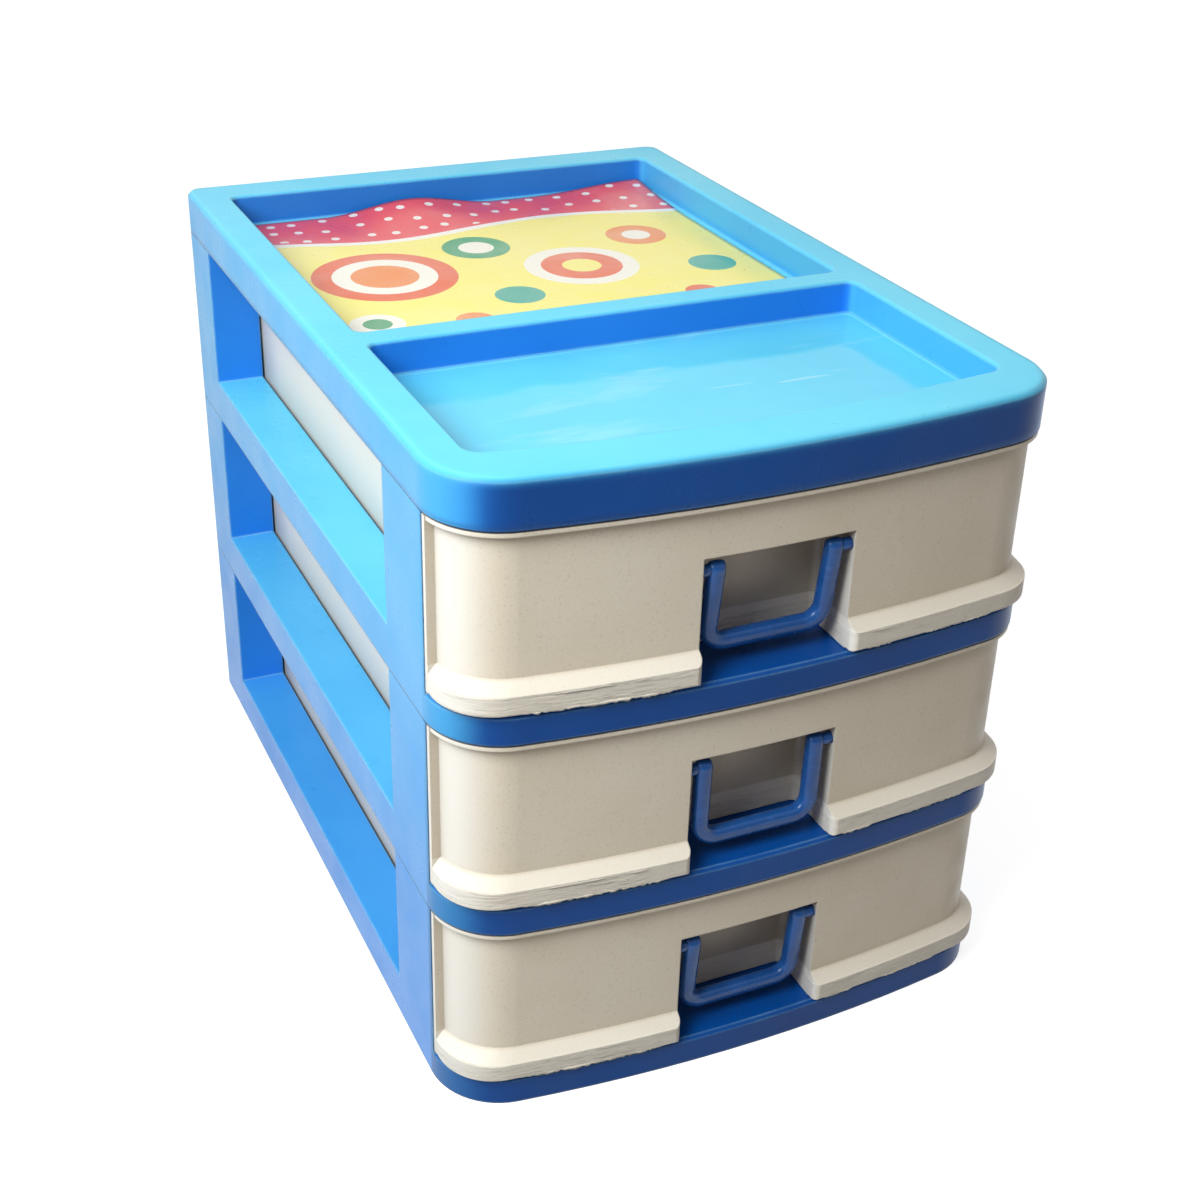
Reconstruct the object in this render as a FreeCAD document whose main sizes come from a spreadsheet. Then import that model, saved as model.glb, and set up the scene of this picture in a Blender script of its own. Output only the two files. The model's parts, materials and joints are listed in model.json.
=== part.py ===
import FreeCAD, Part
import math
import os

import Sketcher
from FreeCAD import Placement, Rotation, Vector

# Craft storage box: three stacked modules, each holding one drawer with a bail handle,
# closed by a cover with two trays. Millimetres, +Z up, front towards -Y.
#
# Every sub-part is drawn in a local frame with X = 0 in the middle of the case, Y = 0 on its
# rear face and Z = 0 at the sub-part's own base, and is then placed. The model's origin is the
# middle of the footprint, on the surface that the box stands on.

# Driving sizes, in millimetres, or in degrees where the name ends in angle.
SIZES = {
    # Case outline, shared by the modules and the cover
    "case_width": 180.0,
    "case_depth": 266.0,
    "rear_corner_radius": 5.0,
    "front_corner_radius": 21.5,
    "bow_radius": 530.0,
    "wall": 2.0,
    # Module: shelf, rails and posts
    "module_pitch": 60.8,
    "band_height": 9.0,
    "band_edge_chamfer": 1.0,
    "shelf_thickness": 2.0,
    "rail_height": 13.8,
    "side_rail_width": 16.0,
    "rear_rail_width": 15.0,
    "rear_post_length": 28.5,
    "front_post_length": 29.3,
    "nose_depth": 24.4,
    "spigot_height": 5.0,
    "spigot_width": 7.0,
    "spigot_clearance": 0.25,
    "spigot_wall": 1.6,
    # Ribs under the shelf and the stops for the drawer below
    "rib_thickness": 1.6,
    "rib_spacing": 27.0,
    "rib_clearance": 2.2,
    "stop_width": 18.0,
    "stop_clearance": 0.3,
    # Cover
    "cover_height": 14.0,
    "cover_edge_chamfer": 1.2,
    "tray_depth": 10.5,
    "tray_floor": 2.0,
    "tray_side_rim": 12.2,
    "tray_rear_rim": 15.2,
    "tray_front_rim": 17.0,
    "rear_tray_length": 140.0,
    "tray_divider": 9.6,
    "tray_corner_radius": 3.0,
    "tray_front_corner_radius": 5.0,
    "tray_edge_chamfer": 0.7,
    "tray_floor_chamfer": 0.6,
    # Drawer
    "drawer_lift": 0.3,
    "drawer_top_gap": 0.6,
    "drawer_side_gap": 0.8,
    "drawer_rear_gap": 1.5,
    "drawer_front_gap": 0.4,
    "drawer_wall": 1.8,
    "drawer_floor": 2.0,
    "drawer_corner_radius": 8.0,
    "drawer_inner_radius": 3.0,
    "drawer_bottom_chamfer": 1.2,
    "front_inset": 2.5,
    "flange_proud": 2.2,
    "flange_thickness": 1.2,
    "side_flange_thickness": 1.8,
    "lip_rise": 0.4,
    "lip_face": 5.7,
    "lip_slope": 3.2,
    "lip_proud": 3.8,
    "lip_corner_radius": 17.0,
    "lip_end_radius": 2.4,
    "lip_edge_chamfer": 0.5,
    "tab_width": 14.0,
    "tab_rise": 2.1,
    # Finger pocket
    "pocket_width": 44.6,
    "pocket_depth": 18.0,
    "pocket_height": 35.4,
    "pocket_corner_radius": 2.0,
    # Bail handle
    "handle_side_gap": 2.4,
    "handle_leg": 5.0,
    "handle_thickness": 4.6,
    "handle_bar": 5.0,
    "handle_outer_radius": 8.0,
    "handle_inner_radius": 3.0,
    "handle_edge_chamfer": 1.3,
    "handle_floor_gap": 4.1,
    "pin_diameter": 3.4,
    "pin_clearance": 0.1,
    "pin_end_gap": 0.4,
    "pivot_inset": 3.0,
    "pivot_drop": 4.7,
    "lean_top_angle": 8.0,
    "lean_middle_angle": 1.5,
    "lean_bottom_angle": 6.0,
    # Label card
    "card_side_gap": 1.7,
    "card_edge_gap": 1.2,
    "card_thickness": 0.4,
    "card_floor_gap": 0.15,
    "card_curl_length": 46.0,
    "card_wave_height": 3.9,
    "card_wave_width": 64.0,
    "card_wave_place": -14.0,
    "card_corner_lift": 2.7,
    "card_corner_width": 44.0,
}

SHEET = "Sizes"
DRAWERS = ("bottom", "middle", "top")
TOLERANCE = 1e-4


class Dim:
    """A length that carries its value and the sheet formula that it comes from."""

    def __init__(self, value, formula):
        self.value = value
        self.formula = formula

    def __add__(self, other):
        other = as_dim(other)
        return Dim(self.value + other.value, f"({self.formula} + {other.formula})")

    def __sub__(self, other):
        other = as_dim(other)
        return Dim(self.value - other.value, f"({self.formula} - {other.formula})")

    def __mul__(self, factor):
        return Dim(self.value * factor, f"({self.formula} * {factor})")

    def __truediv__(self, divisor):
        return Dim(self.value / divisor, f"({self.formula} / {divisor})")

    def __neg__(self):
        return Dim(-self.value, f"(0 - {self.formula})")

    def squared(self):
        return Dim(self.value ** 2, f"({self.formula} ^ 2)")

    def root(self):
        return Dim(math.sqrt(self.value), f"sqrt({self.formula})")


def as_dim(number):
    return number if isinstance(number, Dim) else Dim(float(number), str(float(number)))


ZERO = as_dim(0)
# How far a cutting profile runs past the surface that it opens.
PAST = as_dim(1)

document = FreeCAD.newDocument("craft_storage_box")
sheet = document.addObject("Spreadsheet::Sheet", SHEET)


class Sizes:
    """The sheet's cells by name, each as a Dim."""

    def __init__(self):
        for row, (name, value) in enumerate(SIZES.items(), start=1):
            sheet.set(f"A{row}", name)
            sheet.set(f"B{row}", str(value))
            sheet.setAlias(f"B{row}", name)
        document.recompute()
        for name in SIZES:
            setattr(self, name, Dim(float(sheet.get(name)), f"{SHEET}.{name}"))


size = Sizes()

# Places that several sub-parts share, in the local frame.
case_half = size.case_width / 2
bay_half = case_half - size.side_rail_width
post_front = size.nose_depth - size.case_depth
post_back = post_front + size.front_post_length
nose_back = post_front - size.drawer_front_gap
face_front = -(size.case_depth - size.front_inset)
face_half = case_half - size.front_inset
face_corner = size.front_corner_radius - size.front_inset
face_bow = size.bow_radius - size.front_inset
flange_half = face_half + size.flange_proud
lip_front = face_front - size.lip_proud
drawer_height = size.module_pitch - size.band_height - size.drawer_lift - size.drawer_top_gap
drawer_half = bay_half - size.drawer_side_gap
drawer_back = -(size.rear_rail_width + size.drawer_rear_gap)
tab_front = drawer_back - size.drawer_wall
tray_half = case_half - size.tray_side_rim
rear_tray_front = -(size.tray_rear_rim + size.rear_tray_length)
front_tray_back = rear_tray_front - size.tray_divider
front_tray_front = -(size.case_depth - size.tray_front_rim)
pocket_half = size.pocket_width / 2
pivot_y = face_front + size.pivot_inset
pivot_z = size.pocket_height - size.pivot_drop
handle_half = pocket_half - size.handle_side_gap
stack_height = size.module_pitch * len(DRAWERS)
# The footprint runs from the rear face to the foremost points of the drawers' lips, which lie
# beside the finger pocket, because the pocket cuts the middle of the bow away.
lip_bow = face_bow + size.lip_proud
mouth_sag = lip_bow - (lip_bow.squared() - pocket_half.squared()).root()
lip_end = lip_front + mouth_sag
rear_y = -lip_end / 2


def bind(thing, path, length):
    thing.setExpression(path, length.formula)


class Profile:
    """A closed sketch on one of the body's own planes, with every size tied to the sheet."""

    def __init__(self, body, name, plane="XY_Plane", offset=ZERO):
        self.sketch = body.newObject("Sketcher::SketchObject", name)
        support = next(f for f in body.Origin.OriginFeatures if f.Role == plane)
        self.sketch.AttachmentSupport = [(support, "")]
        self.sketch.MapMode = "FlatFace"
        self.sketch.AttachmentOffset = Placement(Vector(0, 0, offset.value), Rotation())
        bind(self.sketch, "AttachmentOffset.Base.z", offset)

    def relate(self, *terms):
        self.sketch.addConstraint(Sketcher.Constraint(*terms))

    def size(self, kind, *terms, length):
        index = self.sketch.addConstraint(Sketcher.Constraint(kind, *terms, length.value))
        name = f"{kind.lower()}_{index}"
        self.sketch.renameConstraint(index, name)
        bind(self.sketch, f"Constraints.{name}", length)

    def place(self, kind, geometry, point, length):
        """Fixes a point's X (DistanceX) or Y (DistanceY) from the sketch's origin."""
        if abs(length.value) < TOLERANCE:
            self.relate("PointOnObject", geometry, point, -2 if kind == "DistanceX" else -1)
        elif length.value > 0:
            self.size(kind, -1, 1, geometry, point, length=length)
        else:
            self.size(kind, geometry, point, -1, 1, length=-length)

    def line(self, start, end):
        return self.sketch.addGeometry(Part.LineSegment(Vector(*start, 0), Vector(*end, 0)), False)

    def arc(self, centre, radius, start, end):
        circle = Part.Circle(Vector(*centre, 0), Vector(0, 0, 1), radius)
        turn = (math.radians(start), math.radians(end))
        return self.sketch.addGeometry(Part.ArcOfCircle(circle, *turn), False)

    def close(self, pieces):
        """Joins the ends of a loop of lines and arcs, tangent wherever an arc takes part."""
        arcs = {i for i in pieces if isinstance(self.sketch.Geometry[i], Part.ArcOfCircle)}
        for first, second in zip(pieces, pieces[1:] + pieces[:1]):
            kind = "Tangent" if first in arcs or second in arcs else "Coincident"
            self.relate(kind, first, 2, second, 1)

    def polygon(self, corners):
        """Straight sides through the corners, each given as (x, y)."""
        ends = corners[1:] + corners[:1]
        sides = [
            self.line((a[0].value, a[1].value), (b[0].value, b[1].value))
            for a, b in zip(corners, ends)
        ]
        self.close(sides)
        for side, (x, y) in zip(sides, corners):
            self.place("DistanceX", side, 1, x)
            self.place("DistanceY", side, 1, y)

    def rectangle(self, left, right, low, high):
        self.polygon([(left, low), (right, low), (right, high), (left, high)])

    def square_cornered(self, corners):
        """Upright and level sides only; corners run anticlockwise as (x, y, radius or None)."""
        count = len(corners)
        points = [Vector(x.value, y.value, 0) for x, y, _ in corners]
        radii = [0 if radius is None else radius.value for _, _, radius in corners]
        ways = [(points[(i + 1) % count] - points[i]).normalize() for i in range(count)]
        pieces = []
        for i, (x, y, radius) in enumerate(corners):
            after = (i + 1) % count
            before = ways[i - 1]
            turn = before.cross(ways[i]).z
            if radius is not None:
                centre = points[i] + (ways[i] - before) * radii[i]
                spokes = (points[i] - before * radii[i], points[i] + ways[i] * radii[i])
                angles = [math.degrees(math.atan2(*(p - centre)[1::-1])) for p in spokes]
                if turn < 0:
                    angles.reverse()
                angles[1] += 360 if angles[1] < angles[0] else 0
                bend = self.arc((centre.x, centre.y), radii[i], *angles)
                self.size("Radius", bend, length=radius)
                pieces.append((bend, turn < 0))
            start = points[i] + ways[i] * radii[i]
            end = points[after] - ways[i] * radii[after]
            side = self.line((start.x, start.y), (end.x, end.y))
            pieces.append((side, False))
            upright = abs(ways[i].x) < TOLERANCE
            self.relate("Vertical" if upright else "Horizontal", side)
            self.place("DistanceX" if upright else "DistanceY", side, 1, x if upright else y)
        for (first, first_back), (second, second_back) in zip(pieces, pieces[1:] + pieces[:1]):
            ends = (first, 1 if first_back else 2, second, 2 if second_back else 1)
            rounded = any(
                isinstance(self.sketch.Geometry[i], Part.ArcOfCircle) for i in (first, second)
            )
            self.relate("Tangent" if rounded else "Coincident", *ends)

    def bowed(self, half, back, front, corner, bow, back_corner=None):
        """Straight back and sides, rounded front corners and a gently bowed front."""
        corner_x = half.value - corner.value
        bow_y = front.value + bow.value
        reach = bow.value - corner.value
        corner_y = bow_y - math.sqrt(reach ** 2 - corner_x ** 2)
        swing = math.degrees(math.asin(corner_x / reach))
        a, b = half.value, back.value
        r = 0 if back_corner is None else back_corner.value
        bow_arc = self.arc((0, bow_y), bow.value, 270 - swing, 270 + swing)
        right_arc = self.arc((corner_x, corner_y), corner.value, swing - 90, 0)
        right = self.line((a, corner_y), (a, b - r))
        loop = [bow_arc, right_arc, right]
        if back_corner is not None:
            loop.append(self.arc((a - r, b - r), r, 0, 90))
        rear = self.line((a - r, b), (r - a, b))
        loop.append(rear)
        if back_corner is not None:
            loop.append(self.arc((r - a, b - r), r, 90, 180))
        left = self.line((-a, b - r), (-a, corner_y))
        left_arc = self.arc((-corner_x, corner_y), corner.value, 180, 270 - swing)
        loop += [left, left_arc]
        self.close(loop)
        self.relate("Vertical", right)
        self.relate("Vertical", left)
        self.relate("Horizontal", rear)
        self.place("DistanceX", right, 1, half)
        self.place("DistanceX", left, 1, -half)
        self.place("DistanceY", rear, 1, back)
        self.size("Radius", right_arc, length=corner)
        self.relate("Equal", right_arc, left_arc)
        self.size("Radius", bow_arc, length=bow)
        self.relate("PointOnObject", bow_arc, 3, -2)
        self.place("DistanceY", bow_arc, 3, front + bow)
        if back_corner is not None:
            self.size("Radius", loop[3], length=back_corner)
            self.relate("Equal", loop[3], loop[5])

    def circle(self, x, y, radius):
        shape = Part.Circle(Vector(x.value, y.value, 0), Vector(0, 0, 1), radius.value)
        index = self.sketch.addGeometry(shape, False)
        self.place("DistanceX", index, 3, x)
        self.place("DistanceY", index, 3, y)
        self.size("Radius", index, length=radius)


def new_body(label, z, y=rear_y):
    body = document.addObject("PartDesign::Body", label)
    body.Label = label
    body.Placement = Placement(Vector(0, y.value, z.value), Rotation())
    bind(body, "Placement.Base.y", y)
    bind(body, "Placement.Base.z", z)
    return body


def extrude(kind, body, profile, length, back=False, both=False):
    """Adds (Pad) or cuts (Pocket) along the sketch's normal and checks that it did so."""
    before = body.Shape.Volume if body.Tip else 0
    feature = body.newObject(f"PartDesign::{kind}", f"{profile.sketch.Name}_{kind.lower()}")
    feature.Profile = profile.sketch
    feature.Length = length.value
    bind(feature, "Length", length)
    feature.Reversed = back
    if both:
        feature.Midplane = True
    document.recompute()
    after = body.Shape.Volume
    grew = after > before if kind == "Pad" else after < before
    if not grew:
        raise RuntimeError(f"{feature.Name} in {body.Label} changed nothing")
    return feature


def pad(body, profile, length, **options):
    return extrude("Pad", body, profile, length, **options)


def cut_down(body, profile, length, **options):
    """Cuts against the sketch's normal."""
    return extrude("Pocket", body, profile, length, **options)


def cut_up(body, profile, length, **options):
    """Cuts along the sketch's normal."""
    return extrude("Pocket", body, profile, length, back=True, **options)


def samples(edge):
    first, last = edge.ParameterRange
    return [edge.valueAt(first + (last - first) * share) for share in (0, 0.5, 1)]


def edges_where(body, test):
    """Names of the edges whose ends and middle all pass the test."""
    edges = enumerate(body.Tip.Shape.Edges, start=1)
    return [f"Edge{index}" for index, edge in edges if all(map(test, samples(edge)))]


def level_edges(body, z, test=lambda point: True):
    """Names of the edges that lie at height z and whose middle passes the test."""
    names = []
    for index, edge in enumerate(body.Tip.Shape.Edges, start=1):
        points = samples(edge)
        if all(abs(point.z - z.value) < TOLERANCE for point in points) and test(points[1]):
            names.append(f"Edge{index}")
    return names


def upright_edges(body, test):
    """Names of the upright edges whose middle passes the test."""
    names = []
    for index, edge in enumerate(body.Tip.Shape.Edges, start=1):
        points = samples(edge)
        shift = points[2] - points[0]
        if math.hypot(shift.x, shift.y) < TOLERANCE < abs(shift.z) and test(points[1]):
            names.append(f"Edge{index}")
    return names


def dress(kind, body, name, edges, length):
    """Rounds (Fillet) or bevels (Chamfer) the named edges of the body's last feature."""
    if not edges:
        raise RuntimeError(f"{name} in {body.Label} found no edges")
    base = body.Tip
    feature = body.newObject(f"PartDesign::{kind}", name)
    feature.Base = (base, edges)
    setting = "Radius" if kind == "Fillet" else "Size"
    setattr(feature, setting, length.value)
    bind(feature, setting, length)
    document.recompute()
    if not feature.isValid():
        raise RuntimeError(f"{name} in {body.Label} failed")


def fillet(body, name, edges, radius):
    dress("Fillet", body, name, edges, radius)


def chamfer(body, name, edges, length):
    dress("Chamfer", body, name, edges, length)


def case_outline(profile, inset=ZERO):
    profile.bowed(
        case_half - inset,
        -inset,
        inset - size.case_depth,
        size.front_corner_radius - inset,
        size.bow_radius - inset,
        size.rear_corner_radius - inset,
    )


def posts(inner, outer, margin):
    """Plan of the four posts between |x| = inner and outer, inset by a margin from their ends."""
    rear = (-margin, margin - size.rear_post_length)
    front = (post_back - margin, post_front + margin)
    for side in (1, -1):
        for back, ahead in (rear, front):
            yield side, inner, outer, back, ahead


def draw_post(profile, side, inner, outer, back, ahead, corner):
    """One post's plan; the rear outer corner of a rear post follows the case's corner."""
    is_rear = back.value > post_back.value
    bend = corner if is_rear else None
    if side > 0:
        corners = [
            (inner, ahead, None),
            (outer, ahead, None),
            (outer, back, bend),
            (inner, back, None),
        ]
    else:
        corners = [
            (-outer, ahead, None),
            (-inner, ahead, None),
            (-inner, back, None),
            (-outer, back, bend),
        ]
    profile.square_cornered(corners)


def both_sides(inner, outer):
    """The spans from inner to outer right of the middle and, mirrored, left of it."""
    return (inner, outer), (-outer, -inner)


def socket_walls(body, inner, top):
    """Cross walls under a module or cover that hold the spigots below fore and aft."""
    walls = Profile(body, "socket_walls")
    for edges in both_sides(inner - PAST, case_half - size.wall + PAST):
        for back in (size.wall - size.rear_post_length, post_back, post_front + size.wall):
            walls.rectangle(*edges, back - size.wall, back)
    pad(body, walls, top)


def stops(body, bottom, top):
    """Two short cross ribs behind the front posts that catch the drawer's rear tabs."""
    profile = Profile(body, "stops", offset=bottom)
    for middle in (-size.rib_spacing * 2, size.rib_spacing * 2):
        left = middle - size.stop_width / 2
        right = middle + size.stop_width / 2
        profile.rectangle(left, right, post_back - size.rib_thickness, post_back)
    pad(body, profile, top - bottom)


def make_module(name, level):
    """One shelf with rails, a bowed front band and four hollow posts, open underneath."""
    body = new_body(name, size.module_pitch * level)
    floor_bottom = size.band_height - size.shelf_thickness
    ledge_bottom = size.rail_height - size.wall
    beyond = -(size.case_depth + PAST)

    block = Profile(body, "outline")
    case_outline(block)
    pad(body, block, size.module_pitch)

    bay = Profile(body, "bay", offset=size.band_height)
    bay.rectangle(-bay_half, bay_half, beyond, -size.rear_rail_width)
    cut_up(body, bay, size.module_pitch)

    nose = Profile(body, "nose", offset=size.band_height)
    nose.rectangle(-case_half - PAST, case_half + PAST, beyond, post_front)
    cut_up(body, nose, size.module_pitch)

    side_windows = Profile(body, "side_windows", "YZ_Plane")
    window_top = size.module_pitch + PAST
    side_windows.rectangle(post_back, -size.rear_post_length, size.rail_height, window_top)
    cut_down(body, side_windows, size.case_width + PAST, both=True)

    rear_window = Profile(body, "rear_window", "XZ_Plane")
    rear_window.rectangle(-bay_half, bay_half, size.rail_height, window_top)
    cut_down(body, rear_window, (size.rear_rail_width + PAST) * 2, both=True)

    chamfer(
        body,
        "band_edge",
        level_edges(body, size.band_height, lambda p: p.y < post_front.value - TOLERANCE),
        size.band_edge_chamfer,
    )

    underside = Profile(body, "underside")
    case_outline(underside, size.wall)
    cut_up(body, underside, floor_bottom)

    rail_inner = bay_half + size.wall
    rail_channels = Profile(body, "rail_channels")
    for edges in both_sides(rail_inner, case_half - size.wall):
        rail_channels.rectangle(*edges, post_back, -size.rear_post_length)
    rail_channels.rectangle(-bay_half, bay_half, size.wall - size.rear_rail_width, -size.wall)
    cut_up(body, rail_channels, ledge_bottom)

    post_hollows = Profile(body, "post_hollows")
    for post in posts(rail_inner, case_half - size.wall, size.wall):
        draw_post(post_hollows, *post, size.rear_corner_radius - size.wall)
    cut_up(body, post_hollows, size.module_pitch - size.wall)

    spigot_inset = size.wall + size.spigot_clearance
    spigot_outer = case_half - spigot_inset
    spigot_inner = spigot_outer - size.spigot_width
    spigots = Profile(body, "spigots", offset=size.module_pitch)
    for post in posts(spigot_inner, spigot_outer, spigot_inset):
        draw_post(spigots, *post, size.rear_corner_radius - spigot_inset)
    pad(body, spigots, size.spigot_height)

    hollow_inset = spigot_inset + size.spigot_wall
    spigot_hollows = Profile(body, "spigot_hollows", offset=size.module_pitch - size.wall)
    for post in posts(spigot_inner + size.spigot_wall, case_half - hollow_inset, hollow_inset):
        draw_post(spigot_hollows, *post, None)
    cut_up(body, spigot_hollows, size.spigot_height + size.wall - size.spigot_wall)

    bay_wall = Profile(body, "bay_wall")
    bay_back = -size.rear_rail_width
    bay_front = post_front + size.wall
    bay_wall.rectangle(-rail_inner, rail_inner, bay_front - size.wall, bay_back + size.wall)
    bay_wall.rectangle(-bay_half, bay_half, bay_front, bay_back)
    pad(body, bay_wall, floor_bottom)
    socket_walls(body, rail_inner, floor_bottom)

    ribs = Profile(body, "shelf_ribs", offset=size.rib_clearance)
    for place in range(-2, 3):
        middle = size.rib_spacing * place
        half = size.rib_thickness / 2
        ribs.rectangle(middle - half, middle + half, bay_front - PAST, bay_back + PAST)
    pad(body, ribs, floor_bottom - size.rib_clearance)

    stops(body, size.stop_clearance, floor_bottom)
    return body


def make_cover():
    """The lid: a deep rim around two trays, hollow underneath, seated on the top posts."""
    body = new_body("top_cover", stack_height)
    top = size.cover_height
    tray_bottom = top - size.tray_depth
    underside = tray_bottom - size.tray_floor
    channel_top = top - size.wall

    block = Profile(body, "outline")
    case_outline(block)
    pad(body, block, top)
    chamfer(body, "rim_edge", level_edges(body, top), size.cover_edge_chamfer)

    rear_tray = Profile(body, "rear_tray", offset=top)
    corner = size.tray_corner_radius
    rear_tray.square_cornered(
        [
            (-tray_half, rear_tray_front, corner),
            (tray_half, rear_tray_front, corner),
            (tray_half, -size.tray_rear_rim, corner),
            (-tray_half, -size.tray_rear_rim, corner),
        ]
    )
    cut_down(body, rear_tray, size.tray_depth)

    front_tray = Profile(body, "front_tray", offset=top)
    front_tray.bowed(
        tray_half,
        front_tray_back,
        front_tray_front,
        size.tray_front_corner_radius,
        size.bow_radius - size.tray_front_rim,
        corner,
    )
    cut_down(body, front_tray, size.tray_depth)

    chamfer(body, "tray_floor_edges", level_edges(body, tray_bottom), size.tray_floor_chamfer)
    tray_edges = level_edges(
        body,
        top,
        lambda p: abs(p.x) < tray_half.value + TOLERANCE
        and front_tray_front.value - TOLERANCE < p.y < TOLERANCE - size.tray_rear_rim.value,
    )
    chamfer(body, "tray_top_edges", tray_edges, size.tray_edge_chamfer)

    under_trays = Profile(body, "under_trays")
    case_outline(under_trays, size.wall)
    cut_up(body, under_trays, underside)

    channel = Profile(body, "rim_channel")
    case_outline(channel, size.wall)
    outer = tray_half + size.wall
    channel.square_cornered(
        [
            (-outer, rear_tray_front - size.wall, None),
            (outer, rear_tray_front - size.wall, None),
            (outer, size.wall - size.tray_rear_rim, None),
            (-outer, size.wall - size.tray_rear_rim, None),
        ]
    )
    channel.bowed(
        outer,
        front_tray_back + size.wall,
        front_tray_front - size.wall,
        size.tray_front_corner_radius + size.wall,
        size.bow_radius - size.tray_front_rim + size.wall,
    )
    cut_up(body, channel, channel_top)

    socket_walls(body, outer, channel_top)
    gussets = Profile(body, "rim_gussets", offset=underside)
    window = post_back + size.rear_post_length
    for edges in both_sides(outer - PAST, case_half - size.wall + PAST):
        for share in (1, 2, 3):
            middle = window * (share / 4) - size.rear_post_length
            half = size.rib_thickness / 2
            gussets.rectangle(*edges, middle - half, middle + half)
    pad(body, gussets, channel_top - underside)

    stops(body, size.stop_clearance, underside)
    return body


def make_drawer(name, level):
    """Box with a wide bowed front, rim flange, bottom lip, finger pocket and rear stop tabs."""
    body = new_body(name, size.module_pitch * level + size.band_height + size.drawer_lift)
    add_drawer_front(body)
    add_drawer_box(body)
    add_finger_pocket(body)
    return body


def add_drawer_front(body):
    """The bowed front with its lip and flanges, hollowed and trimmed to its back face."""
    wall = size.drawer_wall
    lip_top = size.lip_rise + size.lip_face
    slope_top = lip_top + size.lip_slope
    # These outlines run back past the front's back face, where they are trimmed.
    stock_back = post_back

    front_block = Profile(body, "front_block")
    front_block.bowed(face_half, stock_back, face_front, face_corner, face_bow)
    pad(body, front_block, drawer_height)

    lip_outline = (flange_half, stock_back, lip_front, size.lip_corner_radius, lip_bow)
    lip = Profile(body, "lip", offset=size.lip_rise)
    lip.bowed(*lip_outline)
    pad(body, lip, size.lip_face)

    slope = body.newObject("PartDesign::AdditiveLoft", "lip_slope_loft")
    slope_foot = Profile(body, "slope_foot", offset=lip_top)
    slope_foot.bowed(*lip_outline)
    slope_head = Profile(body, "slope_head", offset=slope_top)
    slope_head.bowed(face_half, stock_back, face_front, face_corner, face_bow)
    slope.Profile = slope_foot.sketch
    slope.Sections = [slope_head.sketch]
    slope.Ruled = True
    body.Tip = slope
    document.recompute()

    chamfer(
        body,
        "lip_edges",
        level_edges(body, size.lip_rise, is_lip),
        size.lip_edge_chamfer,
    )

    rim = Profile(body, "rim_flange", offset=drawer_height - size.flange_thickness)
    rim_proud = size.flange_proud
    rim.bowed(
        flange_half,
        stock_back,
        face_front - rim_proud,
        face_corner + rim_proud,
        face_bow + rim_proud,
    )
    pad(body, rim, size.flange_thickness)

    cavity = Profile(body, "front_cavity", offset=drawer_height)
    cavity.bowed(
        face_half - wall,
        stock_back - wall,
        face_front + wall,
        face_corner - wall,
        face_bow - wall,
    )
    cut_down(body, cavity, drawer_height - size.drawer_floor)

    trim = Profile(body, "front_trim")
    trim.rectangle(-case_half - PAST, case_half + PAST, nose_back, stock_back + PAST)
    cut_up(body, trim, drawer_height + PAST)

    back_plate = Profile(body, "front_back_plate")
    plate_half = face_half - wall / 2
    back_plate.rectangle(-plate_half, plate_half, nose_back - wall, nose_back)
    pad(body, back_plate, drawer_height)

    side_flanges = Profile(body, "side_flanges", offset=size.lip_rise)
    for edges in both_sides(plate_half, flange_half):
        side_flanges.rectangle(*edges, nose_back - size.side_flange_thickness, nose_back)
    pad(body, side_flanges, drawer_height - size.lip_rise)


def is_lip(point):
    """True on the lip's face, which lies outside the drawer's front face and side faces."""
    outside = abs(point.x) > face_half.value + TOLERANCE or point.y < face_front.value - TOLERANCE
    centre_y = (face_front + face_bow).value
    return outside or math.hypot(point.x, point.y - centre_y) > face_bow.value + TOLERANCE


def add_drawer_box(body):
    """The narrower box behind the front, with rounded rear corners and two stop tabs."""
    wall = size.drawer_wall
    inner_half = drawer_half - wall
    cavity_back = nose_back - wall
    corner = size.drawer_corner_radius

    box = Profile(body, "box")
    box.square_cornered(
        [
            (-drawer_half, cavity_back, None),
            (drawer_half, cavity_back, None),
            (drawer_half, drawer_back, corner),
            (-drawer_half, drawer_back, corner),
        ]
    )
    pad(body, box, drawer_height)
    bottom_edges = level_edges(body, ZERO, lambda p: p.y > nose_back.value + TOLERANCE)
    chamfer(body, "box_bottom_edges", bottom_edges, size.drawer_bottom_chamfer)

    tabs = Profile(body, "stop_tabs", offset=drawer_height - PAST)
    for middle in (-size.rib_spacing * 2, size.rib_spacing * 2):
        half = size.tab_width / 2
        tabs.rectangle(middle - half, middle + half, tab_front, drawer_back)
    pad(body, tabs, size.tab_rise + PAST)

    cavity = Profile(body, "box_cavity", offset=drawer_height)
    cavity.square_cornered(
        [
            (-inner_half, cavity_back - PAST, None),
            (inner_half, cavity_back - PAST, None),
            (inner_half, drawer_back - wall, corner - wall),
            (-inner_half, drawer_back - wall, corner - wall),
        ]
    )
    cut_down(body, cavity, drawer_height - size.drawer_floor)

    def at_step(point):
        inside = inner_half.value - TOLERANCE < abs(point.x) < (face_half - wall / 2).value
        return inside and abs(point.y - cavity_back.value) < TOLERANCE

    fillet(body, "cavity_corners", upright_edges(body, at_step), size.drawer_inner_radius)


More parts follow.
